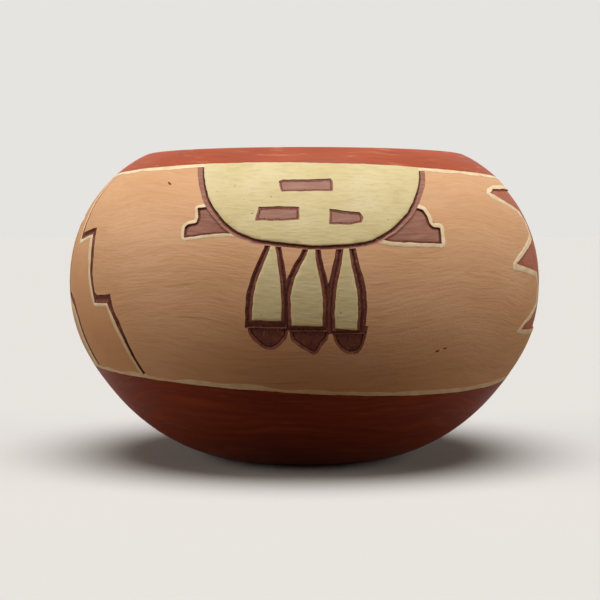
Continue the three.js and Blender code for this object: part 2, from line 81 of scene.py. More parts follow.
# The coats, their borders and the carved band between them. A border has its height and how much
# that varies. Each wave of a coat's edge has its size, its crests round the bowl and where one is.
RIM_DROP = 6.3
RIM_INSIDE_LENGTH = 6
BASE_COAT_HEIGHT = 28.9
FOOT_MARGIN = 1.4
BAND_REACH_DOWN = 5
BAND_REACH_UP = 3
UPPER_BORDER = (1.0, 0.3)
LOWER_BORDER = (1.15, 0.6)
BORDER_LEAST = 0.3
BORDER_LAP = 0.1
BORDER_VARIATION = 1.6
BRUSH_STROKE = 13
RIM_WAVES = ((0.7, 1, -20), (0.8, 2, -12))
BASE_WAVES = ((-2.6, 1, 40), (-1.0, 2, 40))

# Depths below the finished surface.
COAT_DEPTH = 0.04
LINE_DEPTH = 0.05
BORDER_DEPTH = 0.08
CLAY_DEPTH = 0.14
CREVICE_DEPTH = 0.8
FILL_DEPTH = 0.5
FILL_EDGE_DEPTH = 0.65
BAND_DEPTH = 0.3
STEP_BAND_DEPTH = 0.55
BAR_DEPTH = 0.35
SLIP_BOTTOM = 1.25
POCKET_DEPTH = 1.3
CUTTER_TOP = 2
SHEET_DEPTH = 4

# Widths of the slopes at the edges of raised and of carved places, and of the lines in the bars.
RAISED_SLOPE = 0.2
CREVICE_SLOPE = 0.15
CREVICE_RISE = 0.6
STEP_SLOPE = 0.4
# STEP_RAMP widens the paler lower ramp of a stepped groove, which moves its dark floor up under the
# upper edge: painted shade.
STEP_RAMP = 0.9
BAR_MARGIN = 0.35
BAR_LINE = 0.5

# Middles of the four motifs, in degrees from the front, turning towards +X.
FRONT_ANGLE = 1.5
TOOTH_ANGLE = 91.5
BACK_ANGLE = -178.5
STEP_ANGLE = -88.5
SEAM_ANGLE = 140

# The outlines below are points on the wall: millimetres round the belly from the motif's middle,
# and millimetres down from the rim coat.
# The half-round sun. Of the groove round it and of its dark line, the width at the bottom and at
# the two ends, and how late it changes from one to the other.
SUN_EDGE = (
    (-43.6, -3),
    (-39.8, 1),
    (-35.7, 6),
    (-32.2, 10.3),
    (-27, 15.1),
    (-22, 18.4),
    (-15.5, 20.5),
    (-7.8, 21.5),
    (0.5, 22.3),
    (8.5, 22.2),
    (15.5, 21.3),
    (20.4, 19.4),
    (25.5, 16.3),
    (31.5, 11.6),
    (37, 5.8),
    (40.8, 1.3),
    (44.4, -3),
)
SUN_GROOVE = (1.3, 2.6)
SUN_LINE = (1.15, 0.5)
SUN_WIDENING = 1.5

# Bars cut into the sun.
BARS = {
    "top": ((-11, 4.1), (-9.6, 3.7), (-1.7, 3.6), (6.5, 3.3), (7.2, 4.4), (6.9, 7), (-9.8, 7.2)),
    "left": ((-16.4, 11.6), (-10.5, 11.4), (-3.9, 11.6), (-3.8, 15.1), (-8.6, 15.5), (-17.1, 15.4)),
    "right": (
        (5.2, 12.1),
        (9.7, 12.8),
        (14.5, 13.1),
        (15.4, 14.6),
        (14.7, 16.1),
        (11, 16.7),
        (4.9, 16.6),
    ),
}

# Stepped clouds beside the sun, whose inner ends lie under it, and the widths of their lines.
CLOUDS = {
    "left": (
        (-36.6, 11.8),
        (-28, 11),
        (-20, 18.3),
        (-22.1, 19),
        (-31, 19.4),
        (-39.3, 20.2),
        (-39.7, 17.2),
        (-38.7, 16.4),
        (-35.9, 16),
        (-35.6, 14.5),
    ),
    "right": (
        (29.5, 12),
        (34.2, 11.7),
        (36, 12.3),
        (36.8, 14),
        (36.9, 16.1),
        (37.7, 17),
        (40.5, 17.4),
        (39.8, 22),
        (32.1, 21.7),
        (22.9, 21.3),
        (18.5, 20.3),
    ),
}
CLOUD_LINES = {"left": 1.0, "right": 1.35}

# Feathers: the left and the right side of each from the top down. The groove round them narrows
# towards the top, over a length and to a share, and at the foot it is a bar, across which the
# outline's three steps have their own shares. Room is the stretch that each outline may fill.
FEATHERS = {
    "left": (
        ((-11.6, 21), (-12.8, 24.7), (-15.1, 30.6), (-16.7, 36.5), (-17.3, 43.4)),
        ((-11, 21), (-10.1, 26.2), (-9.3, 31.5), (-8.9, 37.5), (-8.9, 43.5)),
    ),
    "middle": (
        ((-0.6, 22), (-2.2, 25.8), (-4.5, 30.3), (-6.1, 36), (-5.9, 44.9)),
        ((0.4, 22), (1, 27.4), (2.1, 32.7), (2.9, 38.5), (2.8, 45)),
    ),
    "right": (
        ((9, 22), (7.9, 28.6), (6.7, 34.4), (6.3, 41), (6.6, 45.7)),
        ((10.1, 22), (10.9, 27.8), (12.2, 33.8), (12.8, 40), (12.7, 46.2)),
    ),
}
FEATHER_GROOVES = {"left": 2.0, "middle": 2.1, "right": 2.6}
FEATHER_BAND = 0.7
FEATHER_LINE = 0.95
FEATHER_TAPER = (12, 0.78)
FEATHER_FEET = {"left": 45.6, "middle": 46.4, "right": 47.2}
FEATHER_BAR_SHARES = (0.97, 0.9, 0.1)
FEATHER_FOOT_POINTS = 12
FEATHER_ROOM = {"left": (-30, -7.4), "middle": (-7.4, 4.6), "right": (4.6, 30)}
FEATHER_ROOM_DROPS = (10, 60)

# The lobes below the feathers.
TIPS = {
    "left": (
        (-19, 43.3),
        (-18.2, 47.6),
        (-16.6, 49.6),
        (-14.9, 51.1),
        (-12.8, 51.8),
        (-10.5, 51.3),
        (-8.5, 49.5),
        (-7.2, 47.7),
        (-6.9, 43.3),
    ),
    "middle": (
        (-6.8, 44.3),
        (-6.3, 48.5),
        (-5.2, 49.9),
        (-2.9, 51.4),
        (0.4, 53.1),
        (1.9, 52),
        (3.2, 50),
        (4.5, 48.3),
        (5, 44.3),
    ),
    "right": (
        (5.3, 45),
        (6.3, 49),
        (7.7, 51.1),
        (9.6, 52.7),
        (12, 53.3),
        (14, 52.5),
        (15.2, 50.4),
        (15.5, 48.6),
        (16.1, 45),
    ),
}
TIP_BAND = 0.6
TIP_LINE = 0.5

# The stepped groove at the side, by its front edge and its back edge, and its pale line.
STEP_FRONT = (
    (20.8, -3),
    (21.8, 4.6),
    (22.9, 9.6),
    (24.9, 13.4),
    (26.4, 18.6),
    (37.8, 17.1),
    (39.2, 21),
    (40.8, 25.5),
    (41.2, 31),
    (43, 36.6),
    (44.6, 37.3),
    (52, 37),
    (53.2, 42),
    (55.4, 45.2),
    (57, 50),
    (58.3, 55),
    (60.3, 61.5),
)
STEP_BACK = (
    (19.7, -3),
    (20.7, 4.8),
    (21.9, 9.9),
    (23.9, 13.8),
    (25.6, 20.9),
    (36.4, 19.3),
    (37.9, 22.9),
    (39.2, 28),
    (39.7, 31.5),
    (41.7, 37.4),
    (42.5, 40),
    (50, 39.8),
    (51.5, 42.3),
    (53.2, 45.3),
    (55.4, 50),
    (56.9, 55),
    (58.9, 61.5),
)
STEP_LINE_EDGE = (
    (18.4, -3),
    (19.3, 4.8),
    (20.4, 10),
    (22.2, 14),
    (24.2, 18.5),
    (24.8, 22.5),
    (35.1, 20.5),
    (36.4, 25),
    (37.9, 29),
    (38.3, 32),
    (40.3, 38),
    (41.6, 41.1),
    (49.2, 40.9),
    (50.2, 42.7),
    (51.5, 45.7),
    (53.9, 50.2),
    (55.5, 55.2),
    (57.5, 61.5),
)

# The second stepped groove behind it, whose two halves mirror each other.
INNER_FRONT = (
    (0, 13),
    (14.2, 13.4),
    (15, 31),
    (16.2, 36.8),
    (23.4, 39.6),
    (26.5, 45),
    (27.6, 52),
    (28.8, 61.5),
)
INNER_BACK = (
    (0, 14.8),
    (12.7, 15.2),
    (13.5, 31.4),
    (14.6, 39.2),
    (21.8, 41.8),
    (24.7, 45.8),
    (25.8, 52.5),
    (27, 61.5),
)
INNER_LINE_EDGE = (
    (0, 16.2),
    (11.2, 16.5),
    (11.9, 31.8),
    (13, 40.6),
    (19.2, 43.5),
    (20.4, 47.3),
    (21, 53.5),
    (22, 61.5),
)

# The toothed field at the other side: its edge from the top down, and the edge of its pale line.
TOOTH_EDGE = (
    (-27.5, 5.1),
    (-41.6, 5.4),
    (-46.4, 6.7),
    (-42.6, 7.9),
    (-36.7, 9.6),
    (-27, 12.2),
    (-24.2, 16),
    (-24.9, 21.1),
    (-36.4, 24.4),
    (-43.4, 27.2),
    (-46, 28.3),
    (-38.7, 29.5),
    (-26.1, 31.1),
    (-22.8, 36.5),
    (-24.5, 41.8),
    (-30.9, 45.2),
    (-36.4, 46.9),
    (-38.3, 48.5),
    (-26, 49.2),
)
TOOTH_LINE_EDGE = (
    (-27, 3.9),
    (-38.6, 4.2),
    (-46.6, 5.6),
    (-49.4, 6.9),
    (-47.2, 8.5),
    (-40.8, 10.1),
    (-31.1, 12.6),
    (-26, 15.3),
    (-26.4, 19.4),
    (-37.5, 23.2),
    (-44.6, 26),
    (-48.1, 28.2),
    (-48.3, 30.3),
    (-41.8, 31),
    (-27.5, 33),
    (-24.6, 36.8),
    (-26.2, 40.8),
    (-33.5, 44.2),
    (-38.8, 46.9),
    (-42, 49.3),
    (-35.9, 50.2),
    (-26, 50.6),
)

# Spacing of the points along smooth outlines, the rounding of cut corners and the most of a side
# that it takes, and the least that a sharp corner's move is divided by.
POINT_SPACING = 0.7
CORNER = 0.35
CORNER_SHARE = 0.4
LEAST_LEAN = 0.5

# Small pits left by grit that was dragged out: angle, height, length, width, and turn in degrees.
PITS = ((-37.8, 87.2, 2.6, 0.8, -22), (31.4, 38.6, 1.9, 0.9, 25), (33.5, 39.4, 1.6, 0.8, 10))
PIT_DEPTH = 1.1

# The hand's slow drift and quick tremor along a line, and the wall's swelling, each a size and a
# length over which it changes.
DRIFT = (0.25, 13)
TREMOR = (0.16, 1.9)
SWELL = (0.12, 38)

# The stretches above the foot and below the lip in which the hand steadies, and the seed of its
# drift and tremor.
STEADY_ABOVE_FOOT = 15
STEADY_BELOW_LIP = 6
HAND_SEED = 3

# Studio: wide soft lamps, each with the direction it stands in, its spread in degrees, its strength
# and its colour, and the colours of the floor, the backdrop and the light that they give back.
LAMPS = (
    ("left", (-0.95, -0.17, 0.26), 40, 1.15, "#FFF8EF"),
    ("right", (0.95, -0.17, 0.26), 40, 0.88, "#FFF8EF"),
    ("top", (0.02, -0.21, 0.98), 50, 3.4, "#FFFFFF"),
)
FLOOR_COLOUR = "#CFCDCA"
FLOOR_BOUNCE = "#54402D"
BACKDROP_COLOUR = "#E6E4E1"
AMBIENT = "#464039"
FLOOR_SIZE = 60

# The camera that fits the photograph's outline: place, tilt in degrees, lens and sensor.
CAMERA_PLACE = (-1.57, -502.9, 72.7)
CAMERA_TILT = 2.5
LENS = 92.33
SENSOR = 36

# Columns and rows along which everything bends with the wall.
COLUMN_COUNT = 320
ROW_LENGTHS = {"foot": 5, "heel": 2.6, "band": 1.4, "shoulder": 2.2, "lip": 0.9, "inside": 3.2}
RIM_COAT_ROWS = {"outside": 14, "lip": 14, "inside": 5}
BASE_COAT_ROWS = 26
BORDER_ROWS = 3

# Tolerances in modelling, the first step of an inset, the depth below which the wall's sheet is
# opened, and the sharpest edge in degrees that is smoothed.
CUT_TOLERANCE = 0.001
MERGE_DISTANCE = 0.002
PLACE_TOLERANCE = 0.01
INSET_START = 0.01
UNDERSIDE_LEVEL = 2.5
SMOOTH_ANGLE = 28

# The length over which the grain of a finish sways up and down.
SWAY_LENGTH = 38


def turned_to_linear(hex_colour):
    """An sRGB colour such as "#C99F70", as linear red, green, blue and alpha."""
    parts = [int(hex_colour[i : i + 2], 16) / 255 for i in (1, 3, 5)]
    return [p / 12.92 if p <= 0.04045 else ((p + 0.055) / 1.055) ** 2.4 for p in parts] + [1.0]


# The wall's section, from the middle of the foot over the lip to the middle of the floor.
def bezier(start, first, second, end):
    t = np.linspace(0, 1, CURVE_POINTS)[:, None]
    points = [np.array(p, float) for p in (start, first, second, end)]
    shares = ((1 - t) ** 3, 3 * (1 - t) ** 2 * t, 3 * (1 - t) * t**2, t**3)
    return sum(share * point for share, point in zip(shares, points))


def lengths_along(points):
    steps = np.hypot(*np.diff(points, axis=0).T)
    return np.concatenate([[0], np.cumsum(steps)])


def outward_normals(points):
    run = np.gradient(points, axis=0)
    run /= np.hypot(*run.T)[:, None]
    return np.column_stack([run[:, 1], -run[:, 0]])


def outer_wall():
    lip = np.array([MOUTH_RADIUS + WALL / 2, HEIGHT - WALL / 2])
    lip_start = lip + WALL / 2 * np.array([math.sin(LIP_SLOPE), math.cos(LIP_SLOPE)])
    heel = np.array([BELLY_RADIUS - HEEL_INSET, HEEL_HEIGHT])
    heel_run = np.array([math.cos(HEEL_SLOPE), math.sin(HEEL_SLOPE)])
    lip_run = np.array([math.cos(LIP_SLOPE), -math.sin(LIP_SLOPE)])
    belly = (BELLY_RADIUS, BELLY_HEIGHT)
    below = (BELLY_RADIUS, BELLY_HEIGHT - BELLY_REACH_DOWN)
    above = (BELLY_RADIUS, BELLY_HEIGHT + BELLY_REACH_UP)
    foot_end = (FOOT_RADIUS + FOOT_REACH, 0)
    stretches = [
        bezier((FOOT_RADIUS, 0), foot_end, heel - HEEL_REACH_DOWN * heel_run, heel),
        bezier(heel, heel + HEEL_REACH_UP * heel_run, below, belly),
        bezier(belly, above, lip_start + LIP_REACH * lip_run, lip_start),
    ]
    return np.vstack([stretches[0], stretches[1][1:], stretches[2][1:]]), lip


OUTER, LIP_CENTRE = outer_wall()
OUTER_LENGTHS = lengths_along(OUTER)
LIP_ANGLES = np.pi / 2 - LIP_SLOPE + np.linspace(0, np.pi, LIP_POINTS)[1:]
LIP = LIP_CENTRE + WALL / 2 * np.column_stack([np.cos(LIP_ANGLES), np.sin(LIP_ANGLES)])
WALL_SHARES = OUTER_LENGTHS / OUTER_LENGTHS[-1]
THICKNESS = FLOOR + (WALL - FLOOR) * np.minimum(1, WALL_SHARES / FLOOR_BLEND)
INNER = (OUTER - THICKNESS[:, None] * outward_normals(OUTER))[::-1][1:]
FOOT_FACE = np.linspace((0, 0), (FOOT_RADIUS, 0), DISC_POINTS)[:-1]
FLOOR_FACE = np.linspace(INNER[-1], (0, INNER[-1, 1]), DISC_POINTS)[1:]
SECTION = np.vstack([FOOT_FACE, OUTER, LIP, INNER, FLOOR_FACE])
SECTION_LENGTHS = lengths_along(SECTION)
SECTION_NORMALS = outward_normals(SECTION)

# Places along the section.
HEEL_PLACE = FOOT_RADIUS
COAT_START = HEEL_PLACE + FOOT_MARGIN
OUTER_END = HEEL_PLACE + OUTER_LENGTHS[-1]
LIP_END = OUTER_END + math.pi * WALL / 2
RIM_END = LIP_END + RIM_INSIDE_LENGTH
SECTION_END = SECTION_LENGTHS[-1]


def along(height):
    """The place along the section where the outer wall reaches a height."""
    return HEEL_PLACE + float(np.interp(height, OUTER[:, 1], OUTER_LENGTHS))


BAND_START = along(BASE_COAT_HEIGHT - BAND_REACH_DOWN)
BAND_END = along(HEIGHT - RIM_DROP + BAND_REACH_UP)


def rows_between(start, end, length):
    return np.linspace(start, end, max(2, round((end - start) / length) + 1))[:-1]


ROWS = np.concatenate(
    [
        rows_between(0, HEEL_PLACE, ROW_LENGTHS["foot"]),
        rows_between(HEEL_PLACE, BAND_START, ROW_LENGTHS["heel"]),
        rows_between(BAND_START, BAND_END, ROW_LENGTHS["band"]),
        rows_between(BAND_END, OUTER_END, ROW_LENGTHS["shoulder"]),
        rows_between(OUTER_END, LIP_END, ROW_LENGTHS["lip"]),
        rows_between(LIP_END, SECTION_END, ROW_LENGTHS["inside"]),
        [SECTION_END],
    ]
)


def round_belly(angle):
    """The distance round the belly from the front to an angle in degrees."""
    return math.radians(angle) * BELLY_RADIUS


COLUMNS = np.linspace(round_belly(SEAM_ANGLE - 360), round_belly(SEAM_ANGLE), COLUMN_COUNT + 1)


# Laying a flat piece round the wall
noise.seed_set(HAND_SEED)


def lay_round(piece):
    """Bends a flat piece round the wall, drawn with the unsteadiness of a hand."""
    mesh = piece.data
    flat = np.empty(len(mesh.vertices) * 3)
    mesh.vertices.foreach_get("co", flat)
    placed = [place_on_wall(*point) for point in flat.reshape(-1, 3)]
    mesh.vertices.foreach_set("co", np.array(placed).ravel() * MM)
    mesh.update()


def place_on_wall(across, length, out):
    angle = across / BELLY_RADIUS
    girth = (BELLY_RADIUS * math.sin(angle), -BELLY_RADIUS * math.cos(angle), length)
    above_foot = max(0, (length - COAT_START) / STEADY_ABOVE_FOOT)
    below_lip = max(0, (OUTER_END - length) / STEADY_BELOW_LIP)
    steady = min(1, above_foot, below_lip)
    drift = DRIFT[0] * noise.noise_vector(Vector(girth) / DRIFT[1])
    tremor = TREMOR[0] * noise.noise_vector(Vector(girth) / TREMOR[1])
    swell = SWELL[0] * (0.5 + 0.5 * noise.noise(Vector(girth) / SWELL[1])) * steady
    angle += steady * (drift.x + tremor.x) / BELLY_RADIUS
    length += steady * (drift.y + tremor.y)
    out -= max(0, swell)
    radius, height, normal_out, normal_up = (
        np.interp(length, SECTION_LENGTHS, values)
        for values in (SECTION[:, 0], SECTION[:, 1], SECTION_NORMALS[:, 0], SECTION_NORMALS[:, 1])
    )
    radius += out * normal_out
    return radius * math.sin(angle), -radius * math.cos(angle), height + out * normal_up


# Working on a piece
def select_only(piece):
    if bpy.context.object and bpy.context.object.mode != "OBJECT":
        bpy.ops.object.mode_set(mode="OBJECT")
    bpy.ops.object.select_all(action="DESELECT")
    piece.select_set(True)
    bpy.context.view_layer.objects.active = piece


def select_faces(piece, wanted):
    """Leaves the piece in edit mode, with the faces selected whose centre and normal are wanted."""
    select_only(piece)
    bpy.ops.object.mode_set(mode="EDIT")
    bpy.ops.mesh.select_mode(type="FACE")
    bpy.ops.mesh.select_all(action="DESELECT")
    bpy.ops.object.mode_set(mode="OBJECT")
    for face in piece.data.polygons:
        face.select = wanted(face.center, face.normal)
    bpy.ops.object.mode_set(mode="EDIT")


def block(name, outline, top=CUTTER_TOP, bottom=POCKET_DEPTH):
    """A flat-topped block of the flat wall."""
    bpy.ops.object.select_all(action="DESELECT")
    bpy.ops.mesh.primitive_circle_add(vertices=len(outline), fill_type="NGON")
    piece = bpy.context.object
    piece.name = name
    for vertex, place in zip(piece.data.vertices, outline):
        vertex.co = (*place, top)
    bpy.ops.object.mode_set(mode="EDIT")
    bpy.ops.mesh.select_all(action="SELECT")
    bpy.ops.mesh.extrude_region_move(TRANSFORM_OT_translate={"value": (0, 0, -bottom - top)})
    bpy.ops.mesh.select_all(action="SELECT")
    bpy.ops.mesh.normals_make_consistent(inside=False)
    bpy.ops.object.mode_set(mode="OBJECT")
    return piece


def slip(name, edge, steps, *materials):
    """A block of slip whose top steps inwards from its edge. Each step is a new edge, its depth,
    and the finish of what lies inside it."""
    piece = block(name, edge, -CLAY_DEPTH, SLIP_BOTTOM)
    for material in materials:
        piece.data.materials.append(material)
    select_faces(piece, lambda centre, normal: normal.z > 0.9)
    for new_edge, depth, finish in steps:
        bpy.ops.mesh.inset(thickness=INSET_START)
        piece.active_material_index = finish
        bpy.ops.object.material_slot_assign()
        bpy.ops.object.mode_set(mode="OBJECT")
        top = next(face for face in piece.data.polygons if face.select)
        for index in top.vertices:
            vertex = piece.data.vertices[index]
            nearest = np.argmin(np.hypot(*(np.array(edge) - vertex.co.xy).T))
            vertex.co = (*new_edge[nearest], -depth)
        bpy.ops.object.mode_set(mode="EDIT")
        edge = new_edge
    bpy.ops.object.mode_set(mode="OBJECT")
    return piece


def carve(piece, *cutters, operation="DIFFERENCE"):
    for cutter in cutters:
        change = piece.modifiers.new("carve", "BOOLEAN")
        change.object = cutter
        change.operation = operation
        change.solver = "MANIFOLD"
        select_only(piece)
        bpy.ops.object.modifier_apply(modifier=change.name)
    return piece


def copy_of(piece, name):
    select_only(piece)
    bpy.ops.object.duplicate()
    bpy.context.object.name = name
    return bpy.context.object


def copied_to_back(piece, name):
    """A copy of a flat piece, half a turn round the bowl from it."""
    copy = copy_of(piece, name)
    copy.location.x = round_belly(BACK_ANGLE - FRONT_ANGLE)
    bpy.ops.object.transform_apply(location=True, rotation=False, scale=False)
    return copy


def mirrored_copy(piece, name, middle):
    """A copy of a flat piece, mirrored in a line up the wall."""
    copy = copy_of(piece, name)
    copy.scale.x = -1
    copy.location.x = 2 * round_belly(middle)
    bpy.ops.object.transform_apply(location=True, rotation=False, scale=True)
    bpy.ops.object.mode_set(mode="EDIT")
    bpy.ops.mesh.select_all(action="SELECT")
    bpy.ops.mesh.normals_make_consistent(inside=False)
    bpy.ops.object.mode_set(mode="OBJECT")
    return copy


def discard(*pieces):
    for piece in pieces:
        bpy.data.objects.remove(piece)


def cut_along_wall(piece):
    """Cuts a flat piece along the wall's columns and rows, so that it bends as the wall does."""
    select_only(piece)
    corners = [Vector(corner) for corner in piece.bound_box]
    bpy.ops.object.mode_set(mode="EDIT")
    for axis, places in ((0, COLUMNS), (1, ROWS)):
        low = min(corner[axis] for corner in corners)
        high = max(corner[axis] for corner in corners)
        normal = Vector((axis == 0, axis == 1, 0))
        for place in places[(places > low) & (places < high)]:
            bpy.ops.mesh.select_all(action="SELECT")
            bpy.ops.mesh.bisect(plane_co=normal * place, plane_no=normal, threshold=CUT_TOLERANCE)
    bpy.ops.object.mode_set(mode="OBJECT")


def finish_piece(piece, node):
    """Smooths a piece that is laid in place and ties it to the bowl."""
    select_only(piece)
    bpy.ops.object.shade_smooth_by_angle(angle=math.radians(SMOOTH_ANGLE))
    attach(piece, "root")
    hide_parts(node)


def lay_slip(piece, node):
    cut_along_wall(piece)
    lay_round(piece)
    finish_piece(piece, node)


def lay_on_both_sides(piece, part):
    """Lays a slip of the sun on the front of the bowl, and a copy of it on the back."""
    cut_along_wall(piece)
    copy = copied_to_back(piece, f"back_{part}_slip")
    for side, slip_there in (("front", piece), ("back", copy)):
        lay_round(slip_there)
        finish_piece(slip_there, f"{side}_{part}")


def cream(name, edge, *cutters, finish=None):
    """Cream slip that stands a little proud of the clay."""
    steps = [(grow(edge, -RAISED_SLOPE), LINE_DEPTH, 0)]
    return carve(slip(name, edge, steps, finish or CREAM), *cutters)


def fill(name, edge, finish, *cutters, line=None):
    """Slip brushed into a carved place, deepest and darkest in the line cut along its edge."""
    crevice = grow(edge, -CREVICE_SLOPE)
    middle = grow(edge, -CREVICE_SLOPE - CREVICE_RISE)
    steps = [(crevice, FILL_EDGE_DEPTH, 0), (middle, FILL_DEPTH, 1)]
    return carve(slip(name, edge, steps, line or THIN_BROWN, finish), *cutters)


def bar_fill(name, edge):
    """Slip brushed into a shallow bar, with a darker line a little inside its edge."""
    margin = grow(edge, -BAR_MARGIN)
    middle = grow(edge, -BAR_MARGIN - BAR_LINE)
    steps = [
        (grow(edge, -CREVICE_SLOPE), BAR_DEPTH, 0),
        (margin, BAR_DEPTH, 1),
        (middle, BAR_DEPTH, 0),
    ]
    return slip(name, edge, steps, THIN_MAUVE, THIN_BROWN)


# Outlines on the flat wall
def height_at(drop):
    return HEIGHT - RIM_DROP - drop


def on_wall(points, middle):
    """Points of a motif on the flat wall."""
    return [(round_belly(middle) + across, along(height_at(drop))) for across, drop in points]


def smooth(points):
    """A smooth line through points."""
    points = np.array(points, float)
    ends = np.vstack([2 * points[0] - points[1], points, 2 * points[-1] - points[-2]])
    line = []
    for before, start, end, after in zip(ends, ends[1:], ends[2:], ends[3:]):
        count = max(1, round(np.hypot(*(end - start)) / POINT_SPACING))
        for t in np.arange(count) / count:
            bend = (2 * before - 5 * start + 4 * end - after) * t**2
            twist = (3 * start - before - 3 * end + after) * t**3
            line.append(tuple(start + 0.5 * ((end - before) * t + bend + twist)))
    return line + [tuple(points[-1])]


def rounded(outline):
    """An outline with rounded corners, and points all along its sides."""
    points = [Vector(point) for point in outline]
    line = []
    for i, point in enumerate(points):
        before, after = points[i - 1] - point, points[(i + 1) % len(points)] - point
        cut = min(CORNER, before.length * CORNER_SHARE, after.length * CORNER_SHARE)
        start, end = point + before.normalized() * cut, point + after.normalized() * cut
        for t in (0, 0.25, 0.5, 0.75, 1):
            line.append((1 - t) ** 2 * start + 2 * t * (1 - t) * point + t**2 * end)
        next_start = points[(i + 1) % len(points)] - after.normalized() * cut
        count = int((next_start - end).length / POINT_SPACING)
        line += [end.lerp(next_start, k / count) for k in range(1, count)]
    return [tuple(place) for place in line]


def grow(outline, distances, downwards=0.0):
    """Moves the edge of an outline outwards by one distance, or by one for each point, and moves
    its lower side by a further one."""
    points = np.array(outline, float)
    if np.isscalar(distances):
        distances = np.full(len(points), distances)
    sides = np.roll(points, -1, axis=0) - points
    sides /= np.hypot(*sides.T)[:, None]
    following = np.roll(points, -1, axis=0)
    area = (points[:, 0] * following[:, 1] - points[:, 1] * following[:, 0]).sum()
    outwards = np.column_stack([sides[:, 1], -sides[:, 0]]) * np.sign(area)
    middles = outwards + np.roll(outwards, 1, axis=0)
    middles /= np.hypot(*middles.T)[:, None]
    distances = distances + downwards * np.maximum(0, -middles[:, 1]) ** 3
    lean = np.maximum(LEAST_LEAN, (middles * outwards).sum(axis=1))
    return [tuple(place) for place in points + middles * (distances / lean)[:, None]]


def round_sun(outline, widths):
    """The sun's outline moved out by a width at its bottom and another at its two ends."""
    shares = np.abs(np.linspace(-1, 1, len(outline))) ** SUN_WIDENING
    return grow(outline, widths[0] + (widths[1] - widths[0]) * shares)


def feather_outline(name):
    left, right = (smooth(on_wall(side, FRONT_ANGLE)) for side in FEATHERS[name])
    foot = np.linspace(left[-1], right[-1], FEATHER_FOOT_POINTS)[1:-1]
    return left + [tuple(place) for place in foot] + right[::-1]


def round_feather(name, width, share):
    """A feather's outline moved out, and at its foot only by a share of its bar."""
    outline = feather_outline(name)
    lengths = np.array(outline)[:, 1]
    taper, top_share = FEATHER_TAPER
    widths = width * np.interp(lengths, (lengths.max() - taper, lengths.max()), (1, top_share))
    foot = lengths.min()
    bar = foot + share * (along(height_at(FEATHER_FEET[name])) - foot)
    return [
        (across, bar if length < foot else length) for across, length in grow(outline, widths)
    ]


def mirrored(points):
    return points + tuple((-across, drop) for across, drop in points[::-1])


# Finishes
def add(material, kind, inputs=None, **settings):
    """Adds a node with its settings and inputs; an input is a value or another node's output."""
    tree = material.node_tree
    node = tree.nodes.new(kind)
    for name, value in settings.items():
        setattr(node, name, value)
    for name, value in (inputs or {}).items():
        if isinstance(value, bpy.types.NodeSocket):
            tree.links.new(value, node.inputs[name])
        else:
            node.inputs[name].default_value = value
    return node


def new_material(name, roughness, specular):
    material = bpy.data.materials.new(name)
    material.use_nodes = True
    shader = material.node_tree.nodes["Principled BSDF"]
    shader.inputs["Roughness"].default_value = roughness
    shader.inputs["Specular IOR Level"].default_value = specular
    return material, shader


def pattern(material, sizes, detail=3.0, distortion=0.0, sway=0.0):
    """Noise whose grains have the given sizes in millimetres along X, Y and Z. Sway is how far, in
    millimetres, they wander up and down."""
    place = add(material, "ShaderNodeTexCoord").outputs["Object"]
    if sway:
        wander = add(
            material,
            "ShaderNodeTexNoise",
            {"Vector": place, "Scale": 1 / (SWAY_LENGTH * MM), "Detail": 1.0},
        ).outputs["Color"]
        place = add(
            material,
            "ShaderNodeVectorMath",
            {0: wander, 1: (0, 0, 2 * sway * MM), 2: place},
            operation="MULTIPLY_ADD",
        ).outputs["Vector"]
    scaled = add(
        material,
        "ShaderNodeMapping",
        {"Vector": place, "Scale": [1 / (size * MM) for size in sizes]},
    ).outputs["Vector"]
    return add(
        material,
        "ShaderNodeTexNoise",
        {"Vector": scaled, "Scale": 1.0, "Detail": detail, "Distortion": distortion},
    ).outputs["Fac"]


def layered(material, shader, ground, *layers):
    """Colours the surface with a ground and others laid over it. Each layer has its colour, the
    pattern that spreads it, the two values of the pattern between which it comes in, and the
    share that it reaches."""
    colour = turned_to_linear(ground)
    for tint, values, low, high, share in layers:
        amount = add(
            material,
            "ShaderNodeMapRange",
            {"Value": values, "From Min": low, "From Max": high, "To Max": share},
        ).outputs["Result"]
        colour = add(
            material,
            "ShaderNodeMix",
            {0: amount, 6: colour, 7: turned_to_linear(tint)},
            data_type="RGBA",
        ).outputs[2]
    material.node_tree.links.new(colour, shader.inputs["Base Color"])


def raised(material, shader, *layers):
    """Gives the surface relief from patterns, each with its depth in millimetres."""
    normal = None
    for height, depth in layers:
        inputs = {"Height": height, "Distance": depth * MM, "Strength": 1.0}
        if normal:
            inputs["Normal"] = normal
        normal = add(material, "ShaderNodeBump", inputs).outputs["Normal"]
    material.node_tree.links.new(normal, shader.inputs["Normal"])


def scraped_clay():
    """Bare earthenware clay, scraped with a tool when leather-hard and never polished. It is matt
    and sandy, and the tool leaves fine ridges, a little under a millimetre apart."""
    material, shader = new_material("scraped earthenware", roughness=0.88, specular=0.25)
    clouding = pattern(material, (30, 30, 20))
    ridges = pattern(material, (5, 5, 0.7), detail=2.0, sway=6)
    strokes = pattern(material, (19, 19, 2), detail=3.0, sway=6)
    scratches = pattern(material, (26, 26, 0.8), detail=2.0, sway=6)
    grit = pattern(material, (0.5, 0.5, 0.5), detail=1.0)
    layered(
        material,
        shader,
        "#D5A478",
        ("#DFB088", clouding, 0.3, 0.7, 1.0),
        ("#C28C62", strokes, 0.42, 0.75, 0.28),
        ("#B27C55", ridges, 0.5, 0.75, 0.16),
        ("#8F5F3E", scratches, 0.68, 0.8, 0.4),
    )
    raised(material, shader, (ridges, 0.08), (strokes, 0.08), (grit, 0.03))
    return material


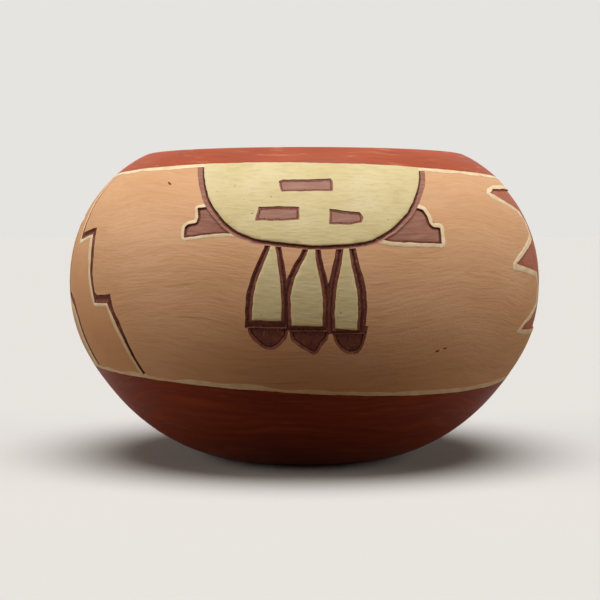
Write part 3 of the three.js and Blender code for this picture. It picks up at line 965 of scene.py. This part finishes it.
def wiped_clay():
    """The same clay under a thin wash of its own slip, wiped smooth: warmer and more even."""
    material, shader = new_material("wiped earthenware", roughness=0.75, specular=0.3)
    wiping = pattern(material, (16, 16, 1.8), detail=2.0, sway=3)
    layered(
        material,
        shader,
        "#CE986A",
        ("#D8A578", pattern(material, (24, 24, 16)), 0.3, 0.7, 1.0),
        ("#B98258", wiping, 0.45, 0.8, 0.2),
    )
    raised(material, shader, (wiping, 0.06))
    return material


def burnished_red(name, ground, clouding, specular, streaks):
    """Iron-red clay slip rubbed with a smooth stone before firing. The stone's strokes leave a
    soft shine and narrow paler streaks that run round the wall. It shines most on the rim, and
    less below, where the rounding wall gives the stone a shorter stroke."""
    material, shader = new_material(name, roughness=0.5, specular=specular)
    strokes = pattern(material, (24, 24, 1.3), detail=3.0, sway=6)
    layered(
        material,
        shader,
        ground,
        (clouding, pattern(material, (28, 28, 12)), 0.3, 0.7, 1.0),
        ("#AE5530", strokes, 0.45, 0.75, 0.45),
        ("#6E2C14", pattern(material, (17, 17, 1.1), detail=2.0, sway=4), 0.56, 0.72, 0.45),
        ("#D08D68", pattern(material, (11, 11, 1.1), detail=2.0, sway=4), 0.6, 0.74, streaks),
    )
    spread = {"From Min": 0.3, "From Max": 0.7, "To Min": 0.46, "To Max": 0.62}
    shine = add(material, "ShaderNodeMapRange", {"Value": strokes, **spread})
    material.node_tree.links.new(shine.outputs["Result"], shader.inputs["Roughness"])
    raised(material, shader, (strokes, 0.05))
    return material


def matt_red():
    """The red slip where it fills carved places, which the stone can't reach, so it stays matt."""
    material, shader = new_material("unburnished red slip", roughness=0.8, specular=0.3)
    grain = pattern(material, (4, 4, 0.7), detail=2.0, sway=2)
    layered(
        material,
        shader,
        "#A15C46",
        ("#B06D56", pattern(material, (9, 9, 5)), 0.3, 0.7, 1.0),
        ("#8A4937", grain, 0.5, 0.8, 0.3),
    )
    raised(material, shader, (grain, 0.08))
    return material


def cream_slip():
    """Pale kaolin slip that fires cream. It lies thin and matt over the scraped clay, whose ridges
    show through it, with a few dark specks where grit broke the surface."""
    material, shader = new_material("matt cream slip", roughness=0.8, specular=0.3)
    brushing = pattern(material, (3.5, 3.5, 0.8), detail=3.0, sway=2)
    layered(
        material,
        shader,
        "#D4C28D",
        ("#DDCEA0", pattern(material, (11, 11, 7)), 0.3, 0.7, 1.0),
        ("#BBA36E", brushing, 0.48, 0.75, 0.35),
        ("#5A4028", pattern(material, (1.3, 1.3, 0.8), detail=0.0), 0.84, 0.88, 0.8),
    )
    raised(material, shader, (brushing, 0.1))
    return material


def thin_cream_slip():
    """The cream slip drawn in narrow lines with one stroke of the brush: thin enough for the clay to
    warm it, and paler in patches."""
    material, shader = new_material("thin cream slip", roughness=0.8, specular=0.3)
    layered(
        material,
        shader,
        "#E3C79C",
        ("#F0DCB8", pattern(material, (4, 4, 3)), 0.35, 0.65, 1.0),
        ("#C9A57A", pattern(material, (5, 5, 0.6), detail=2.0, sway=2), 0.5, 0.8, 0.3),
    )
    raised(material, shader, (pattern(material, (2, 2, 0.8), detail=2.0), 0.06))
    return material


def mauve_slip(name, ground, clouding):
    """Manganese-tinted slip brushed into carved recesses: matt, and rubbed paler in places."""
    material, shader = new_material(name, roughness=0.78, specular=0.3)
    rubbing = pattern(material, (6, 6, 0.8), detail=2.0, sway=3)
    layered(
        material,
        shader,
        ground,
        (clouding, pattern(material, (6, 6, 3)), 0.3, 0.7, 1.0),
        ("#B28C7E", rubbing, 0.48, 0.72, 0.5),
    )
    raised(material, shader, (rubbing, 0.12))
    return material


def brown_slip():
    """Dark iron slip drawn into the carved grooves with a fine brush: matt, patchy where thin, and
    speckled by the grit that the carving tore loose."""
    material, shader = new_material("matt brown slip", roughness=0.8, specular=0.3)
    layered(
        material,
        shader,
        "#5A2C22",
        ("#723D2D", pattern(material, (2.2, 2.2, 2.2)), 0.35, 0.7, 1.0),
        ("#2E130E", pattern(material, (0.9, 0.9, 0.9), detail=1.0), 0.58, 0.68, 0.8),
        ("#96624F", pattern(material, (0.8, 0.8, 1.1), detail=1.0), 0.63, 0.73, 0.7),
    )
    raised(material, shader, (pattern(material, (0.9, 0.9, 0.9), detail=2.0), 0.1))
    return material


def thin_brown_slip():
    """The same brown slip where the brush left it thin at the side of a line, so that the clay
    shows through and turns it to a dull red."""
    material, shader = new_material("thin brown slip", roughness=0.8, specular=0.3)
    layered(
        material,
        shader,
        "#6F392B",
        ("#885142", pattern(material, (2.6, 2.6, 1.6)), 0.35, 0.7, 1.0),
        ("#3F1D15", pattern(material, (0.9, 0.9, 0.9), detail=1.0), 0.62, 0.72, 0.7),
        ("#A97A63", pattern(material, (0.8, 0.8, 1.1), detail=1.0), 0.62, 0.74, 0.6),
    )
    raised(material, shader, (pattern(material, (2, 2, 0.8), detail=2.0), 0.08))
    return material


CLAY = scraped_clay()
WIPED_CLAY = wiped_clay()
RIM_RED = burnished_red("stone-burnished red slip", "#93360F", "#A64419", 0.3, 0.5)
# The base coat is the rim's red slip, painted darker, with darker clouding and fewer pale streaks:
# painted shade on the underside.
BASE_RED_IN_PAINTED_SHADE = burnished_red("lightly burnished red slip, painted darker for shade", "#6E240C", "#7E2E12", 0.1, 0.12)
MATT_RED = matt_red()
CREAM = cream_slip()
THIN_CREAM = thin_cream_slip()
MAUVE = mauve_slip("matt mauve slip", "#8C5A49", "#9F6D5A")
THIN_MAUVE = mauve_slip("thin matt mauve slip", "#976B5B", "#A57A69")
BROWN = brown_slip()
THIN_BROWN = thin_brown_slip()


# The sun with its clouds and feathers
def sun_motif():
    """Lays the slips of the sun on the front and the back, and returns the cutters of the places
    carved for them. It is modelled once, flat, at the front."""
    edge = smooth(on_wall(SUN_EDGE, FRONT_ANGLE))
    groove = round_sun(edge, SUN_GROOVE)
    sun = block("sun_cutter", edge)
    room = block("groove_cutter", groove)
    steps = [
        (round_sun(edge, SUN_LINE), BAND_DEPTH, 1),
        (grow(edge, SUN_LINE[1] / 2), CREVICE_DEPTH, 1),
    ]
    outline = slip("sun_outline_slip", groove, steps, MAUVE, BROWN)
    lay_on_both_sides(carve(outline, sun), "sun_outline")

    bars = []
    for name, points in BARS.items():
        bar = rounded(on_wall(points, FRONT_ANGLE))
        bar_slip = bar_fill(f"bar_{name}_slip", bar)
        lay_on_both_sides(bar_slip, f"bar_{name}")
        bars.append(block("bar_cutter", bar))
    lay_on_both_sides(cream("sun_face_slip", edge, *bars), "sun_face")

    feathers, tips = feather_group(room)
    clouds = []
    for name, points in CLOUDS.items():
        cloud = rounded(on_wall(points, FRONT_ANGLE))
        clouds.append(block("cloud_cutter", cloud))
        around = grow(cloud, CLOUD_LINES[name])
        cutters = (clouds[-1], room, feathers)
        line = cream(f"cloud_line_{name}_slip", around, *cutters, finish=THIN_CREAM)
        lay_on_both_sides(line, f"cloud_line_{name}")
        cloud_slip = fill(f"cloud_{name}_slip", cloud, MAUVE, room)
        lay_on_both_sides(cloud_slip, f"cloud_{name}")
    discard(sun, *bars)
    cutters = [room, feathers, *tips, *clouds]
    return cutters + [copied_to_back(cutter, f"back_{cutter.name}") for cutter in cutters]


def feather_group(sun_room):
    """Three feathers with the brown outlines round them and the lobes at their tips."""
    feathers = [block("feather_cutter", feather_outline(name)) for name in FEATHERS]
    room = block("feather_room", round_feather("middle", FEATHER_GROOVES["middle"], 1))
    tips = []
    for name in FEATHERS:
        feather = cream(f"feather_{name}_slip", feather_outline(name), sun_room)
        lay_on_both_sides(feather, f"feather_{name}")

        edge = round_feather(name, FEATHER_GROOVES[name], 1)
        outer, lowest, inner = FEATHER_BAR_SHARES
        steps = [
            (round_feather(name, FEATHER_BAND + FEATHER_LINE, outer), BAND_DEPTH, 0),
            (round_feather(name, FEATHER_BAND + FEATHER_LINE / 2, lowest), CREVICE_DEPTH, 0),
            (round_feather(name, FEATHER_BAND, inner), BAND_DEPTH, 1),
        ]
        outline = slip(f"feather_outline_{name}_slip", edge, steps, BROWN, THIN_BROWN)
        left, right = FEATHER_ROOM[name]
        top, bottom = FEATHER_ROOM_DROPS
        corners = ((left, top), (right, top), (right, bottom), (left, bottom))
        share = block("share", on_wall(corners, FRONT_ANGLE))
        carve(outline, share, operation="INTERSECT")
        carve(outline, sun_room, *feathers)
        lay_on_both_sides(outline, f"feather_outline_{name}")
        if name != "middle":
            side_room = block("side_room", edge)
            carve(room, side_room, operation="UNION")
            discard(side_room)
        discard(share)

    for name, points in TIPS.items():
        lobe = smooth(on_wall(points, FRONT_ANGLE))
        steps = [
            (grow(lobe, -TIP_BAND), BAND_DEPTH, 1),
            (grow(lobe, -TIP_BAND - TIP_LINE / 2), CREVICE_DEPTH, 1),
            (grow(lobe, -TIP_BAND - TIP_LINE), FILL_DEPTH, 1),
        ]
        tip = slip(f"feather_tip_{name}_slip", lobe, steps, THIN_BROWN, BROWN)
        lay_on_both_sides(carve(tip, room), f"feather_tip_{name}")
        tips.append(block("tip_cutter", lobe))
    discard(*feathers)
    return room, tips


# The stepped lines at one side
def step_motif():
    """Lays the stepped lines and returns the cutters of their grooves. The one at the back is the
    front one's mirror image."""
    front = (STEP_FRONT, STEP_BACK, STEP_LINE_EDGE)
    inner = [
        tuple((-across, drop) for across, drop in points[:0:-1]) + points
        for points in (INNER_FRONT, INNER_BACK, INNER_LINE_EDGE)
    ]
    cutters = []
    for part, (groove_front, groove_back, line_edge) in (("front_step", front), ("inner_step", inner)):
        groove = rounded(on_wall(groove_front + groove_back[::-1], STEP_ANGLE))
        # The dark brown floor is real slip, but the paler ramp below it is widened so that the floor
        # lies under the upper edge: painted shade there.
        steps = [
            (grow(groove, -STEP_SLOPE / 2, -STEP_RAMP), STEP_BAND_DEPTH, 0),
            (grow(groove, -STEP_SLOPE, -STEP_RAMP), CREVICE_DEPTH, 1),
        ]
        pieces = {
            "outline": slip(f"{part}_outline_slip", groove, steps, THIN_BROWN, BROWN),
            "line": cream(
                f"{part}_line_slip",
                rounded(on_wall(groove_back + line_edge[::-1], STEP_ANGLE)),
                finish=THIN_CREAM,
            ),
        }
        cutters.append(block("step_cutter", groove))
        if part == "front_step":
            cutters.append(mirrored_copy(cutters[-1], "back_step_cutter", STEP_ANGLE))
        for kind, piece in pieces.items():
            if part == "front_step":
                copy = mirrored_copy(piece, f"back_step_{kind}_slip", STEP_ANGLE)
                lay_slip(copy, f"back_step_{kind}")
            lay_slip(piece, f"{part}_{kind}")
    return cutters


# The toothed red field at the other side
def tooth_motif():
    edge = rounded(on_wall(mirrored(TOOTH_EDGE), TOOTH_ANGLE))
    cutter = block("tooth_cutter", edge)
    around = rounded(on_wall(mirrored(TOOTH_LINE_EDGE), TOOTH_ANGLE))
    line = cream("tooth_line_slip", around, cutter, finish=THIN_CREAM)
    lay_slip(line, "tooth_line")
    field = fill("tooth_field_slip", edge, MATT_RED, line=MATT_RED)
    lay_slip(field, "tooth_field")
    return [cutter]


# Pieces that go all round the bowl
def round_sheet(name, rows, level):
    """A flat sheet the whole way round; rows gives each row's place along the section, and level
    its height over the finished surface."""
    count = len(rows(0.0)) - 1
    bpy.ops.object.select_all(action="DESELECT")
    bpy.ops.mesh.primitive_grid_add(x_subdivisions=COLUMN_COUNT, y_subdivisions=count, size=2)
    sheet = bpy.context.object
    sheet.name = name
    lines = [rows(across) for across in COLUMNS]
    for vertex in sheet.data.vertices:
        column = round((vertex.co.x + 1) / 2 * COLUMN_COUNT)
        place = lines[column][round((vertex.co.y + 1) / 2 * count)]
        vertex.co = (COLUMNS[column], place, level(place))
    return sheet


def close_seam(piece):
    select_only(piece)
    bpy.ops.object.mode_set(mode="EDIT")
    bpy.ops.mesh.select_all(action="SELECT")
    bpy.ops.mesh.remove_doubles(threshold=MERGE_DISTANCE * MM)
    bpy.ops.mesh.select_all(action="SELECT")
    bpy.ops.mesh.normals_make_consistent(inside=False)
    bpy.ops.object.mode_set(mode="OBJECT")


def coat(node, material, rows, depth):
    """A layer of slip all round the wall, with its own thickness below the surface."""
    piece = round_sheet(f"{node}_slip", rows, lambda place: -depth)
    lay_round(piece)
    close_seam(piece)
    thicken = piece.modifiers.new("thickness", "SOLIDIFY")
    thicken.thickness = (SLIP_BOTTOM - depth) * MM / 2
    thicken.offset = -1
    bpy.ops.object.modifier_apply(modifier=thicken.name)
    piece.data.materials.append(material)
    finish_piece(piece, node)


def wavy(height, waves, across):
    angle = across / BELLY_RADIUS
    sway = sum(size * math.cos(count * (angle - math.radians(at))) for size, count, at in waves)
    return along(height + sway)


def rim_line(across, offset=0.0):
    return wavy(HEIGHT - RIM_DROP + offset, RIM_WAVES, across)


def base_line(across, offset=0.0):
    return wavy(BASE_COAT_HEIGHT + offset, BASE_WAVES, across)


def border_height(across, border, seed):
    """The height of a border, which a loaded brush makes uneven."""
    height, unevenness = border
    angle = across / BELLY_RADIUS
    place = Vector((math.sin(angle), math.cos(angle), seed)) * BELLY_RADIUS / BRUSH_STROKE
    return max(BORDER_LEAST, height + unevenness * BORDER_VARIATION * noise.noise(place))


def coats():
    def rim_rows(across):
        return np.concatenate(
            [
                np.linspace(rim_line(across), OUTER_END, RIM_COAT_ROWS["outside"])[:-1],
                np.linspace(OUTER_END, LIP_END, RIM_COAT_ROWS["lip"])[:-1],
                np.linspace(LIP_END, RIM_END, RIM_COAT_ROWS["inside"]),
            ]
        )

    def base_rows(across):
        return np.linspace(COAT_START, base_line(across), BASE_COAT_ROWS)

    def upper_rows(across):
        low = rim_line(across, -border_height(across, UPPER_BORDER, 0.0))
        return np.linspace(low, rim_line(across, BORDER_LAP), BORDER_ROWS)

    def lower_rows(across):
        high = base_line(across, border_height(across, LOWER_BORDER, 0.5))
        return np.linspace(base_line(across, -BORDER_LAP), high, BORDER_ROWS)

    coat("rim_coat", RIM_RED, rim_rows, COAT_DEPTH)
    # The base coat takes the red slip painted darker for shade.
    coat("base_coat", BASE_RED_IN_PAINTED_SHADE, base_rows, COAT_DEPTH)
    coat("upper_border", THIN_CREAM, upper_rows, BORDER_DEPTH)
    coat("lower_border", THIN_CREAM, lower_rows, BORDER_DEPTH)


def pit_cutters():
    """Small hollows left in the scraped clay."""
    cutters = []
    for angle, height, length, width, turn in PITS:
        bpy.ops.object.select_all(action="DESELECT")
        bpy.ops.mesh.primitive_ico_sphere_add(subdivisions=2, radius=0.5)
        pit = bpy.context.object
        pit.scale = (length, width, 2 * PIT_DEPTH)
        pit.rotation_euler = Euler((0, 0, math.radians(turn)))
        pit.location = (round_belly(angle), along(height), -CLAY_DEPTH)
        bpy.ops.object.transform_apply(location=True, rotation=True, scale=True)
        cutters.append(pit)
    return cutters


def is_inside(place, outline):
    """Whether a place on the flat wall lies inside an outline."""
    crossed = 0
    for (x1, y1), (x2, y2) in zip(outline, outline[1:] + outline[:1]):
        if (y1 > place.y) != (y2 > place.y):
            crossed += place.x < x1 + (x2 - x1) * (place.y - y1) / (y2 - y1)
    return crossed % 2


def clay_wall(pockets):
    """The fired body: one sheet from foot to floor, carved flat and then closed round the bowl."""
    edge = {0: 0, COAT_START: 0, COAT_START + 1: CLAY_DEPTH, RIM_END: CLAY_DEPTH, RIM_END + 1: 0}
    edge[SECTION_END] = 0

    def level(place):
        return -float(np.interp(place, list(edge), list(edge.values())))

    body = round_sheet("clay_wall", lambda across: ROWS, level)
    body.data.materials.append(CLAY)
    body.data.materials.append(WIPED_CLAY)
    select_only(body)
    bpy.ops.object.mode_set(mode="EDIT")
    bpy.ops.mesh.select_all(action="SELECT")
    bpy.ops.mesh.extrude_region_move(TRANSFORM_OT_translate={"value": (0, 0, -SHEET_DEPTH)})
    bpy.ops.mesh.select_all(action="SELECT")
    bpy.ops.mesh.normals_make_consistent(inside=False)
    bpy.ops.object.mode_set(mode="OBJECT")
    carve(body, *pockets)
    ends = (COLUMNS[0], COLUMNS[-1])

    def is_underside(centre, normal):
        at_side = min(abs(centre.x - end) for end in ends) < PLACE_TOLERANCE
        at_end = min(abs(centre.y), abs(centre.y - SECTION_END)) < PLACE_TOLERANCE
        return centre.z < -UNDERSIDE_LEVEL or abs(normal.z) < 0.1 and (at_side or at_end)

    select_faces(body, is_underside)
    bpy.ops.mesh.delete(type="FACE")
    bpy.ops.object.mode_set(mode="OBJECT")
    wiped_field = on_wall(mirrored(STEP_BACK), STEP_ANGLE)
    for face in body.data.polygons:
        face.material_index = is_inside(face.center, wiped_field)
    lay_round(body)
    close_seam(body)
    finish_piece(body, "clay_body")


POCKETS = sun_motif() + step_motif() + tooth_motif() + pit_cutters()
clay_wall(POCKETS)
discard(*POCKETS)
coats()


# Floor, light and camera
def by_view(owner, seen, cast):
    """One colour for what the camera sees, itself or in a reflection, and another for the light
    that is cast on the bowl."""
    rays = add(owner, "ShaderNodeLightPath").outputs
    share = rays["Is Camera Ray"]
    for kind in ("Is Glossy Ray", "Is Transmission Ray"):
        share = add(owner, "ShaderNodeMath", {0: share, 1: rays[kind]}, operation="MAXIMUM").outputs[0]
    colours = {0: share, 6: turned_to_linear(cast), 7: turned_to_linear(seen)}
    return add(owner, "ShaderNodeMix", colours, data_type="RGBA").outputs[2]


def studio():
    bpy.ops.object.select_all(action="DESELECT")
    bpy.ops.mesh.primitive_plane_add(size=FLOOR_SIZE)
    floor = bpy.context.object
    floor.name = "floor"
    material, shader = new_material("pale paper floor", roughness=0.95, specular=0.0)
    colour = by_view(material, FLOOR_COLOUR, FLOOR_BOUNCE)
    material.node_tree.links.new(colour, shader.inputs["Base Color"])
    floor.data.materials.append(material)

    world = bpy.data.worlds.new("studio")
    bpy.context.scene.world = world
    world.use_nodes = True
    background = world.node_tree.nodes["Background"]
    colour = by_view(world, BACKDROP_COLOUR, AMBIENT)
    world.node_tree.links.new(colour, background.inputs["Color"])

    for name, towards, angle, strength, colour in LAMPS:
        light = bpy.data.lights.new(name, "SUN")
        light.angle = math.radians(angle)
        light.energy = strength
        light.color = turned_to_linear(colour)[:3]
        lamp = bpy.data.objects.new(name, light)
        bpy.context.scene.collection.objects.link(lamp)
        lamp.location = towards
        lamp.rotation_euler = (-Vector(towards)).to_track_quat("-Z", "Y").to_euler()


def camera():
    """The view of the photograph: a long lens just below the level of the lip."""
    view = bpy.data.cameras.new("camera")
    view.sensor_width = SENSOR
    view.lens = LENS
    holder = bpy.data.objects.new("camera", view)
    bpy.context.scene.collection.objects.link(holder)
    holder.location = Vector(CAMERA_PLACE) * MM
    holder.rotation_euler = Euler((math.radians(90 - CAMERA_TILT), 0, 0))
    bpy.context.scene.camera = holder


studio()
camera()
bpy.context.scene.view_settings.view_transform = "Standard"
